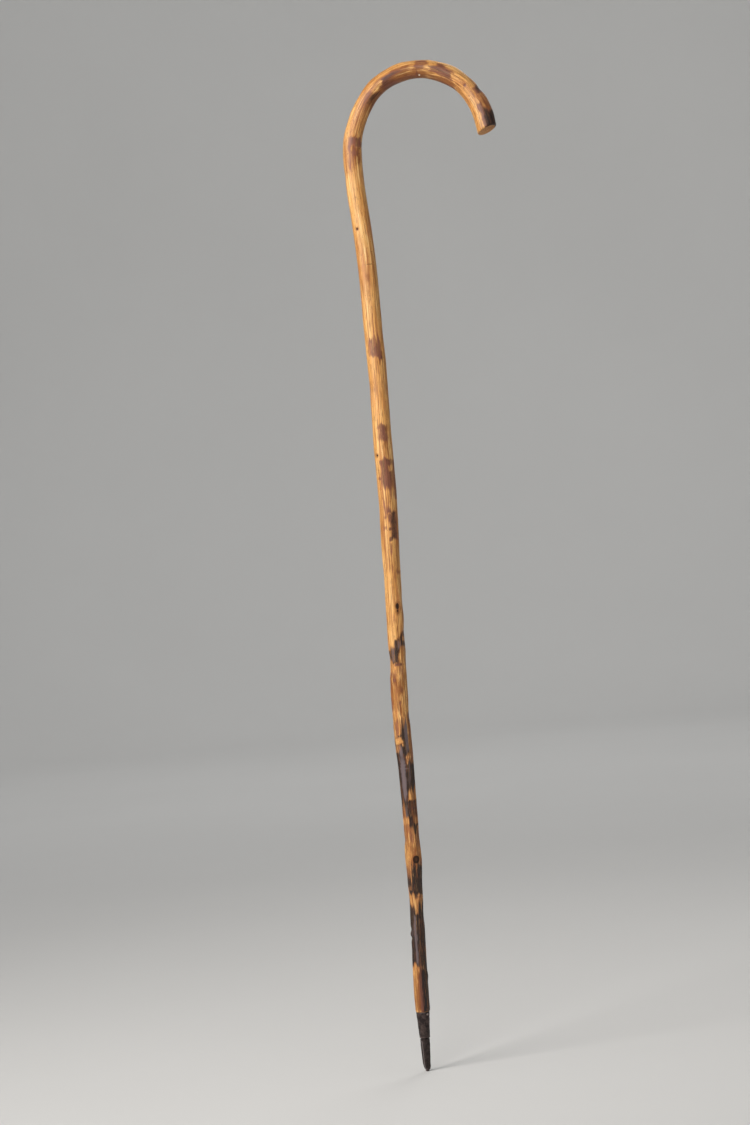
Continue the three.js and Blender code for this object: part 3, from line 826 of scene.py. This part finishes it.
def scorched(r, f, wood):
    """The wood with a warm halo round each burn, its stains with painted shade among them, and the brown
    scorch marks.
    """
    halo = r.math("MULTIPLY", r.ramp(r.math("ADD", f.scorch, f.char), 0.02, 0.5), 0.5)
    wood = r.mix(halo, wood, srgb(150, 80, 42))
    stained_and_shaded = r.math("MULTIPLY", cover(r, f, f.stain_and_shade, 0.08, 0.9, 0.6), 0.78)
    # stains, with painted shade inside the crook and at the foot, laid in one brown
    wood = r.mix(stained_and_shaded, wood, srgb(118, 58, 16))
    brown = r.mix(r.ramp(f.grain, 0.36, 0.62), srgb(60, 32, 27), srgb(132, 80, 62))
    burnt = cover(r, f, r.math("MULTIPLY", f.scorch, 1.25, clamp=True), 0.08, 1.1, 0.95)
    return r.mix(r.math("MULTIPLY", burnt, 0.94), wood, brown)


def blackened(r, f, wood, charred):
    """The wood with its char, which shows the grain, brown dashes, and lighter ridges and grey places that
    are partly rubbed and partly painted highlight.
    """
    black = r.mix(r.ramp(f.grain, 0.38, 0.66), srgb(2, 2, 4), srgb(24, 16, 17))
    black = r.tints(
        black,
        # lighter on the ridges: partly rubbed char, partly painted highlight
        (f.crest, 0.62, 0.95, 0.3, (54, 38, 35)),
        (f.dashes, 0.57, 0.66, 0.6, (116, 64, 34)),
        (f.fine, 0.57, 0.70, 0.3, (68, 54, 56)),
    )
    # grey where the char is rubbed, and a painted highlight down the lit left side
    rubbed_and_highlight = r.math("MULTIPLY", cover(r, f, f.worn, 0.15, 0.8, 0.5), 0.8)
    black = r.mix(rubbed_and_highlight, black, srgb(110, 98, 102))
    return r.mix(r.math("MULTIPLY", charred, 0.96), wood, black)


def end_grain(r, f):
    """The sawn end: growth rings about the pith, rays, open pores and a dark heart."""
    px, py = r.math("SUBTRACT", f.x, PITH[0]), r.math("SUBTRACT", f.y, PITH[1])
    far = r.math("SQRT", r.math("ADD", r.math("MULTIPLY", px, px), r.math("MULTIPLY", py, py)))
    rings = r.math("SINE", r.math("MULTIPLY_ADD", f.wobble, 13.0, r.math("MULTIPLY", far, 4300)))
    rings = r.math("MULTIPLY", rings, r.ramp(f.years, 0.35, 0.65, 0.25, 1.0))
    angle = r.math("MULTIPLY", r.math("ARCTAN2", px, py), 46)
    rays = r.math("SINE", r.math("MULTIPLY_ADD", f.wobble, 14.0, angle))
    return r.tints(
        srgb(220, 156, 84),
        (rings, -0.7, 0.9, 1.0, (160, 98, 46)),
        (rays, 0.6, 1.0, 0.35, (210, 150, 84)),
        (f.pores, 0.56, 0.70, 0.75, (70, 40, 20)),
        (f.cloud, 0.45, 0.7, 0.5, (120, 68, 30)),
        (far, 0.0009, 0.0004, 0.8, (58, 34, 20)),
    )


def wood_material():
    """Scorched, lacquered wood. The roughness rises in char, on the sawn end and in the pits."""
    r = Recipe("scorched_wood")
    f = WoodFields(r)
    charred = cover(r, f, r.math("MULTIPLY", f.char, 0.9), 0.16, 0.88, 0.62)
    wood = scorched(r, f, bare_wood(r, f))
    wood = blackened(r, f, wood, charred)
    wood = r.tints(
        wood,
        # dark in cracks, worm holes and knot rings; in the cracks and holes it is partly painted shade
        (f.pit, 0.15, 0.6, 0.95, (30, 16, 10)),
        (f.chip, 0.2, 0.6, 1.0, (238, 222, 196)),
    )
    wood = r.mix(f.sawn, wood, end_grain(r, f))

    rough = r.ramp(f.grit, 0.3, 0.7, 0.40, 0.54)
    rough = r.math("MULTIPLY_ADD", charred, 0.06, rough)
    rough = r.math("MULTIPLY_ADD", f.sawn, 0.12, rough)
    rough = r.math("MULTIPLY_ADD", r.ramp(f.pit, 0.1, 0.6), 0.5, rough, clamp=True)
    height = r.math("MULTIPLY_ADD", f.fine, 0.35, r.math("MULTIPLY", f.grain, 0.65))
    height = r.math("MULTIPLY_ADD", f.grit, 0.25, height)
    r.set(Base_Color=wood, Roughness=rough, Normal=r.bump(height, 0.0003, 0.85))
    r.set(Coat_Weight=0.12, Coat_Roughness=0.25, Specular_IOR_Level=0.38)
    return r.material


def iron_material(name, dark, light, wear_and_highlight_share, roughness):
    """Forged iron: dark scale, a brown bloom, and brighter metal where hands and ground rub it, with
    painted highlights down the left of the sleeve and spike.
    """
    r = Recipe(name)
    place = r.node("ShaderNodeTexCoord").outputs["Object"]
    scale = r.noise(place, 260, 4, 0.6)
    speck = r.noise(place, 1400, 4, 0.65)
    drawn = r.noise(r.stretched(place, 1800, 1800, 90), detail=3)
    wear_and_highlight = r.attribute("wear_and_highlight").outputs["Fac"]
    metal = r.mix(r.ramp(scale, 0.35, 0.68), dark, light)
    metal = r.tints(metal, (speck, 0.55, 0.75, 0.6, (74, 50, 38)))
    # brighter metal where it is rubbed, plus the painted highlight that the same attribute carries
    rubbed_and_highlight = r.math("MULTIPLY_ADD", r.math("SUBTRACT", speck, 0.5), 0.9, wear_and_highlight)
    rubbed_and_highlight = r.ramp(rubbed_and_highlight, 0.3, 0.85)
    metal = r.mix(r.math("MULTIPLY", rubbed_and_highlight, wear_and_highlight_share), metal, srgb(166, 150, 147))
    rough = r.ramp(speck, 0.3, 0.75, roughness - 0.08, roughness + 0.14)
    rough = r.math("MULTIPLY_ADD", rubbed_and_highlight, -0.12, rough, clamp=True)
    height = r.math("MULTIPLY_ADD", speck, 0.8, r.math("MULTIPLY_ADD", drawn, 0.4, scale))
    r.set(Base_Color=metal, Roughness=rough, Metallic=0.72, Normal=r.bump(height, 0.0005, 0.9))
    r.set(Specular_IOR_Level=0.5)
    return r.material


# ---- the iron foot

METAL_SIDES = 96
CAP_WEAR = [0.6, 0.0]  # at the middle points that close a turned piece's lower and upper end


def lathe(name, profile, shape=None, wear_and_highlight=None, sides=METAL_SIDES, closed=False):
    """A turned piece from (radius, height) rows; shape(turn, radius, height) may move each point."""
    rows = np.array(profile, float)
    turn = np.broadcast_to(np.arange(sides) * 360.0 / sides, (len(rows), sides))
    radius = np.repeat(rows[:, :1], sides, 1)
    height = np.repeat(rows[:, 1:2], sides, 1)
    if shape:
        radius, height = shape(turn, radius, height)
    points = np.stack([radius * np.sin(np.radians(turn)), -radius * np.cos(np.radians(turn)), height], -1)
    points = points.reshape(-1, 3)
    # wear values; for the sleeve and spike they include a painted highlight down the left
    worn = (wear_and_highlight(turn, radius, height) if wear_and_highlight else np.zeros(turn.shape)).reshape(-1)
    if closed:
        made = mesh_object(name, points, bands(len(rows), sides, closed=True))
    else:
        caps = [[0, 0, rows[0, 1]], [0, 0, rows[-1, 1]]]
        made = mesh_object(name, np.r_[points, caps], skin(len(rows), sides))
        worn = np.r_[worn, CAP_WEAR]
    put_attribute(made, "wear_and_highlight", "FLOAT", worn)
    return made


def rows_between(a, b, count):
    """Profile rows from a up to, but not counting, b."""
    return [tuple(np.array(a) + (np.array(b) - a) * i / count) for i in range(count)]


def sleeve_profile():
    """Out along the sleeve's bottom, up its skin, over the rim, and down inside to the tang's hole."""
    def skin_row(height, inward=0.0):
        return sleeve_radius(height) - inward, height

    bottom, top = SLEEVE_BOTTOM, SLEEVE_TOP
    floor, lip = bottom + SLEEVE_FLOOR, SLEEVE_MOUTH + SLEEVE_BEAD
    rows = rows_between((BORE_WIDE, bottom), (SLEEVE_MOUTH - 0.1, bottom), 5)
    rows += [(SLEEVE_MOUTH - 0.1, bottom), (SLEEVE_MOUTH + 0.05, bottom + 0.08)]
    rows += [(lip - 0.04, bottom + 0.24), (lip, bottom + 0.5), (lip, bottom + 0.8)]
    rows += [(lip - 0.08, bottom + 1.05)]
    rows += rows_between(skin_row(bottom + 1.3), skin_row(top - 0.5), 40)
    rows += [skin_row(top - 0.5), (SLEEVE_RIM - 0.05, top - 0.22), (SLEEVE_RIM - 0.2, top - 0.05)]
    inner_rim = SLEEVE_RIM - SLEEVE_WALL
    rows += [(SLEEVE_RIM - 0.38, top), (inner_rim + 0.12, top - 0.02), (inner_rim, top - 0.2)]
    rows += rows_between(skin_row(top - 1, SLEEVE_WALL), skin_row(floor, SLEEVE_WALL), 16)
    rows += rows_between(skin_row(floor, SLEEVE_WALL), (BORE_WIDE, floor), 4)
    return rows + rows_between((BORE_WIDE, floor), (BORE_WIDE, bottom), 3)


def sleeve_shape(turn, radius, height):
    """Hammered dents, the lapped seam at the back, and a ragged rim."""
    on_skin = smooth(-0.35, -0.05, radius - sleeve_radius(height))
    x, y = around(turn, 8)
    dents = 0.11 * noise(x, y, height / 5.0, 51) + 0.05 * noise(x * 2.2, y * 2.2, height / 2.2, 52)
    dents = dents * (1 - 0.5 * (1 - smooth(SLEEVE_BOTTOM + 0.3, SLEEVE_BOTTOM + 2.0, height)))
    seam = 0.16 * facing_to(turn, 158, 5.0) - 0.14 * facing_to(turn, 151, 2.2)
    ragged = 0.28 * noise(x * 1.3, y * 1.3, 0.5, 53) + 0.12 * noise(x * 4, y * 4, 0.5, 54) - 0.15
    near_top = smooth(SLEEVE_TOP - 3.0, SLEEVE_TOP, height)
    return radius + on_skin * (dents + seam), height + ragged * near_top


def sleeve_wear_and_highlight(turn, radius, height):
    """Brighter worn metal on the lip at the bottom and on the rim, and a painted highlight that makes both
    brighter to the left.
    """
    on_skin = smooth(-0.3, -0.05, radius - sleeve_radius(height))
    lip = np.exp(-(((height - SLEEVE_BOTTOM - 0.6) / 0.55) ** 2))
    edge = smooth(SLEEVE_TOP - 1.0, SLEEVE_TOP - 0.2, height)
    # painted highlight on the left, where the key light falls
    left = facing_to(turn, -62, 34.0)
    front = facing_to(turn, 12, 26.0) * smooth(SLEEVE_TOP - 2.5, SLEEVE_TOP - 0.5, height)
    return on_skin * np.clip(lip * (0.3 + 0.5 * left) + edge * (0.35 + 0.75 * left) + 0.35 * front, 0, 1)


GROOVE = 0.8  # between the spike's shoulder and the sleeve
SPIKE_SHOULDER = SLEEVE_BOTTOM - GROOVE  # its height
SPIKE_SHOULDER_RADIUS = 4.25
SPIKE_POINT = 3.2  # length of the worn, blunt point
SPIKE_POINT_RADIUS = 3.0
NECK_RADIUS = 3.0  # between the shoulder and the tang
TANG_ROOT, TANG_TIP = 1.8, 1.1  # radii
SPIKE_EDGE_TURN = -12.0  # one corner of the forged square faces a little left of the front
SQUARENESS = 0.085


def spike_profile():
    """From the flat worn on the point, up the spike, over its shoulder, and up the tang."""
    end, shoulder, wide = SPIKE_POINT_RADIUS, SPIKE_SHOULDER, SPIKE_SHOULDER_RADIUS
    neck_top = SLEEVE_BOTTOM - 0.25
    rows = [(0.55, 0.0), (1.0, 0.0), (1.25, 0.1)]
    rows += rows_between((1.45, 0.35), (2.75, 2.4), 7)
    rows += rows_between((2.75, 2.4), (end, SPIKE_POINT), 4)
    rows += rows_between((end, SPIKE_POINT), (wide, shoulder - 0.5), 46)
    rows += [(wide, shoulder - 0.5), (wide - 0.06, shoulder - 0.22), (wide - 0.25, shoulder - 0.05)]
    rows += [(wide - 0.5, shoulder), (NECK_RADIUS + 0.2, shoulder), (NECK_RADIUS, shoulder + 0.1)]
    rows += [(NECK_RADIUS, neck_top), (TANG_ROOT + 0.15, neck_top)]
    rows += rows_between((TANG_ROOT, neck_top + 0.05), (TANG_TIP, TANG_TOP - 4), 14)
    rows += rows_between((TANG_TIP, TANG_TOP - 4), (0.25, TANG_TOP - 0.3), 4)
    return rows + [(0.25, TANG_TOP - 0.3)]


def square(turn):
    """How far a worn forged square stands off its round, from -1 on a flat to 1 at a corner."""
    angle = np.radians(apart(turn, SPIKE_EDGE_TURN) * 4)
    return np.tanh(1.6 * np.cos(angle)) / math.tanh(1.6)


def spike_shape(turn, radius, height):
    """A forged square section in the middle, hammer dents, and a point worn back most on its left."""
    body = between(0.2, 3.0, SPIKE_SHOULDER - 7.0, SPIKE_SHOULDER - 0.4, height)
    x, y = around(turn, 6)
    dents = 0.10 * noise(x, y, height / 4.0, 61) + 0.05 * noise(x * 2, y * 2, height / 1.6, 62)
    grown = radius * (1 + SQUARENESS * body * square(turn)) + dents * (0.35 + 0.65 * body)
    grown = grown + 0.25 * noise(x, y, 0.3, 63) * between(0.05, 0.6, 1.0, 3.5, height)
    grown = grown - 0.9 * facing_to(turn, -78, 48.0) * between(0.2, 1.6, 2.0, 7.5, height)
    on_body = (height > 0.01) & (height < SPIKE_SHOULDER - 0.02)
    return np.where(on_body, grown, radius), height


def spike_wear_and_highlight(turn, radius, height):
    """Brighter worn metal down the corners and at the point, and a painted highlight strip down the left
    side.
    """
    corner = smooth(0.55, 1.0, square(turn))
    tip = 1 - smooth(1.5, 7.0, height)
    # painted highlight: a bright strip down the left side
    left = facing_to(turn, -46, 17.0)
    below_shoulder = 1 - smooth(SPIKE_SHOULDER - 1.6, SPIKE_SHOULDER - 0.3, height)
    return np.clip(0.22 * corner + 0.25 * tip + 0.65 * left, 0, 1) * below_shoulder


TACK_TURNS = {"ferrule_tack_front": 40.0, "ferrule_tack_back": 220.0}
TACK_LENGTH = 3.1  # under the head
TACK_SHANK = 0.5  # radius
TACK_LIFT = 0.05  # how far the head's underside stands off the sleeve
TACK_SIDES = 32
HOLE_RADIUS = 0.72
HOLE_DEPTH = 3.4
HOLE_START = 6.0  # how far from the middle of the foot the drill's zero height is set
HOLE_SIDES = 24


def tack_height(node):
    """How high the tack sits, from the middle of its CAD node."""
    low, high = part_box(node)
    return (low.z + high.z) / 2 / MM


def point_outward(made, node, reach):
    """Lays a piece turned about Z along that tack's own line, with its zero height at that reach."""
    angle = math.radians(TACK_TURNS[node])
    out = Vector((math.sin(angle), -math.cos(angle), 0))
    turned = Vector((0, 0, 1)).rotation_difference(out).to_matrix().to_4x4()
    place = Matrix.Translation((out * reach + Vector((0, 0, tack_height(node)))) * MM)
    made.data.transform(place @ turned)


def tack_shape(turn, radius, height):
    """A hammered head: five facets round its edge, and three shallow dishes on top."""
    facets = 1 + 0.06 * np.cos(np.radians(turn * 5 + 20)) * smooth(0.6, 1.0, radius)
    dished = 0.05 * np.cos(np.radians(turn * 3)) * smooth(0.2, 0.5, height) * radius
    return radius * np.where(height > 0, facets, 1.0), height + dished


def tack_wear(turn, radius, height):
    return smooth(0.15, 0.55, height)


def build_tack(node):
    """A small hand-made tack: a hammered domed head and a tapered shank."""
    rows = [(0.05, -TACK_LENGTH), (0.2, 0.3 - TACK_LENGTH)]
    rows += rows_between((0.42, -2.0), (TACK_SHANK, 0.0), 5)
    rows += [(TACK_SHANK, 0.0), (0.8, 0.0), (1.04, 0.02), (1.12, 0.1), (1.1, 0.2), (1.0, 0.34)]
    rows += [(0.82, 0.46), (0.58, 0.55), (0.3, 0.6), (0.08, 0.61)]
    made = lathe(node + "_iron", rows, tack_shape, tack_wear, sides=TACK_SIDES)
    point_outward(made, node, sleeve_radius(tack_height(node)) + TACK_LIFT)
    return made


def drill(made, node):
    """Cuts the clearance hole for one tack."""
    wide, deep, high = HOLE_RADIUS, -HOLE_DEPTH, 0.3
    rows = [(wide / 2, deep), (wide, deep), (wide, high), (wide / 2, high)]
    cutter = lathe("drill", rows, sides=HOLE_SIDES)
    point_outward(cutter, node, HOLE_START)
    cut = made.modifiers.new("drill", "BOOLEAN")
    cut.operation, cut.solver, cut.object = "DIFFERENCE", "MANIFOLD", cutter
    shape = bpy.data.meshes.new_from_object(made.evaluated_get(bpy.context.evaluated_depsgraph_get()))
    made.modifiers.clear()
    old, made.data = made.data, shape
    bpy.data.meshes.remove(old)
    bpy.data.objects.remove(cutter)


# ---- the pieces together

def finish_piece(made, node, material):
    made.data.materials.clear()
    made.data.materials.append(material)
    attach(made, "root")
    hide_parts(node)


def build_cane():
    stick = build_stick()
    sleeve = lathe("sleeve_iron", sleeve_profile(), sleeve_shape, sleeve_wear_and_highlight, closed=True)
    spike = lathe("spike_iron", spike_profile(), spike_shape, spike_wear_and_highlight)
    scale_iron = iron_material("ferrule_iron", srgb(44, 37, 36), srgb(86, 72, 68), 0.75, 0.46)
    worn_and_highlit_iron = iron_material("spike_iron", srgb(38, 31, 30), srgb(72, 61, 58), 0.85, 0.46)
    tack_iron = iron_material("tack_iron", srgb(96, 86, 76), srgb(140, 128, 114), 0.8, 0.4)
    finish_piece(stick, "stick", wood_material())
    finish_piece(sleeve, "ferrule_sleeve", scale_iron)
    finish_piece(spike, "spike", worn_and_highlit_iron)
    for node in TACK_TURNS:
        drill(stick, node)
        drill(sleeve, node)
        finish_piece(build_tack(node), node, tack_iron)


# ---- floor, light and camera, in metres

ROOM_RADIUS, ROOM_HEIGHT, ROOM_CURVE = 6.0, 3.8, 1.8
ROOM_SIDES = 96
CURVE_STEPS = 24


def build_room():
    """One seamless pale surface: a round floor that curves up into a wall all round."""
    flat = ROOM_RADIUS - ROOM_CURVE
    profile = [(r, 0.0) for r in (0.4, 1.5, 3.0, flat)]
    for i in range(1, CURVE_STEPS + 1):
        angle = math.radians(90 * i / CURVE_STEPS)
        profile.append((flat + ROOM_CURVE * math.sin(angle), ROOM_CURVE - ROOM_CURVE * math.cos(angle)))
    profile.append((ROOM_RADIUS, ROOM_HEIGHT))
    turns = np.radians(np.arange(ROOM_SIDES) * 360.0 / ROOM_SIDES)
    points = [(r * math.sin(t), -r * math.cos(t), h) for r, h in profile for t in turns]
    faces = [list(range(ROOM_SIDES))]
    faces += [face[::-1] for face in bands(len(profile), ROOM_SIDES)]
    room = mesh_object("room", np.array(points) / MM, faces)
    r = Recipe("pale_floor")
    mottle = r.noise(r.node("ShaderNodeTexCoord").outputs["Object"], 1.5, 3)
    r.set(Base_Color=r.mix(mottle, (0.66, 0.655, 0.64), (0.70, 0.695, 0.68)), Roughness=0.85)
    r.set(Specular_IOR_Level=0.2)
    room.data.materials.append(r.material)


# Each soft light: name, place, the point it aims at, width and height, watts, colour, beam in degrees.
LIGHTS = [
    ("key", (-1.22, -0.92, 1.32), (0.02, 0, 0.62), (0.8, 1.3), 11.0, (1.0, 0.97, 0.94), 110),
    ("front", (-0.6, -2.2, 1.6), (0.02, 0, 0.6), (1.0, 0.9), 4.7, (1.0, 0.98, 0.95), 70),
    ("back", (0.9, 1.7, 2.2), (0.02, 0, 0.5), (1.2, 1.0), 2.0, (1.0, 0.98, 0.96), 70),
]
WALL_LIGHTS = (58, 46, 46)  # watts of the lights on the wall, spaced evenly from the back
WALL_LIGHT_REACH, WALL_LIGHT_HEIGHT = 2.2, 3.6
WALL_AIM_REACH, WALL_AIM_HEIGHT = 4.8, 0.3
WORLD_COLOUR, WORLD_STRENGTH = (0.92, 0.95, 1.0, 1), 0.10


def softbox(name, place, aim, size, power, colour, spread):
    """A rectangular soft light that the camera doesn't see."""
    data = bpy.data.lights.new(name, "AREA")
    data.shape, data.size, data.size_y = "RECTANGLE", size[0], size[1]
    data.energy, data.color, data.spread = power, colour, math.radians(spread)
    lamp = bpy.data.objects.new(name, data)
    lamp.location = place
    lamp.rotation_euler = (Vector(aim) - Vector(place)).to_track_quat("-Z", "Y").to_euler()
    lamp.visible_camera = False
    bpy.context.scene.collection.objects.link(lamp)


def build_light():
    for light in LIGHTS:
        softbox(*light)
    for i, power in enumerate(WALL_LIGHTS):
        angle = math.radians(360 * i / len(WALL_LIGHTS))
        out = Vector((math.sin(angle), math.cos(angle), 0))
        place = out * WALL_LIGHT_REACH + Vector((0, 0, WALL_LIGHT_HEIGHT))
        aim = out * WALL_AIM_REACH + Vector((0, 0, WALL_AIM_HEIGHT))
        softbox(f"wall_{i}", place, aim, (3.0, 1.0), power, (1, 1, 1), 160)
    world = bpy.data.worlds.new("studio")
    world.use_nodes = True
    sky = world.node_tree.nodes["Background"].inputs
    sky["Color"].default_value = WORLD_COLOUR
    sky["Strength"].default_value = WORLD_STRENGTH
    bpy.context.scene.world = world


CAMERA_DISTANCE = 2.2
CAMERA_AIM = (-0.0111, 0.456)  # where its middle ray meets the plane of the stick, X and Z
CAMERA_ROLL = 4.5  # degrees; the stick leans to the left in the view
CAMERA_LENS, CAMERA_SENSOR = 78.9, 36.0  # in the camera's own millimetres


def build_camera():
    data = bpy.data.cameras.new("camera")
    data.lens, data.sensor_width = CAMERA_LENS, CAMERA_SENSOR
    camera = bpy.data.objects.new("camera", data)
    bpy.context.scene.collection.objects.link(camera)
    roll = math.radians(CAMERA_ROLL)
    right = Vector((math.cos(roll), 0, -math.sin(roll)))
    up = Vector((math.sin(roll), 0, math.cos(roll)))
    turned = Matrix((right, up, Vector((0, -1, 0)))).transposed().to_4x4()
    camera.matrix_world = Matrix.Translation((CAMERA_AIM[0], -CAMERA_DISTANCE, CAMERA_AIM[1])) @ turned
    bpy.context.scene.camera = camera
    bpy.context.scene.view_settings.view_transform = "Standard"


build_camera()
build_light()
build_room()
build_cane()
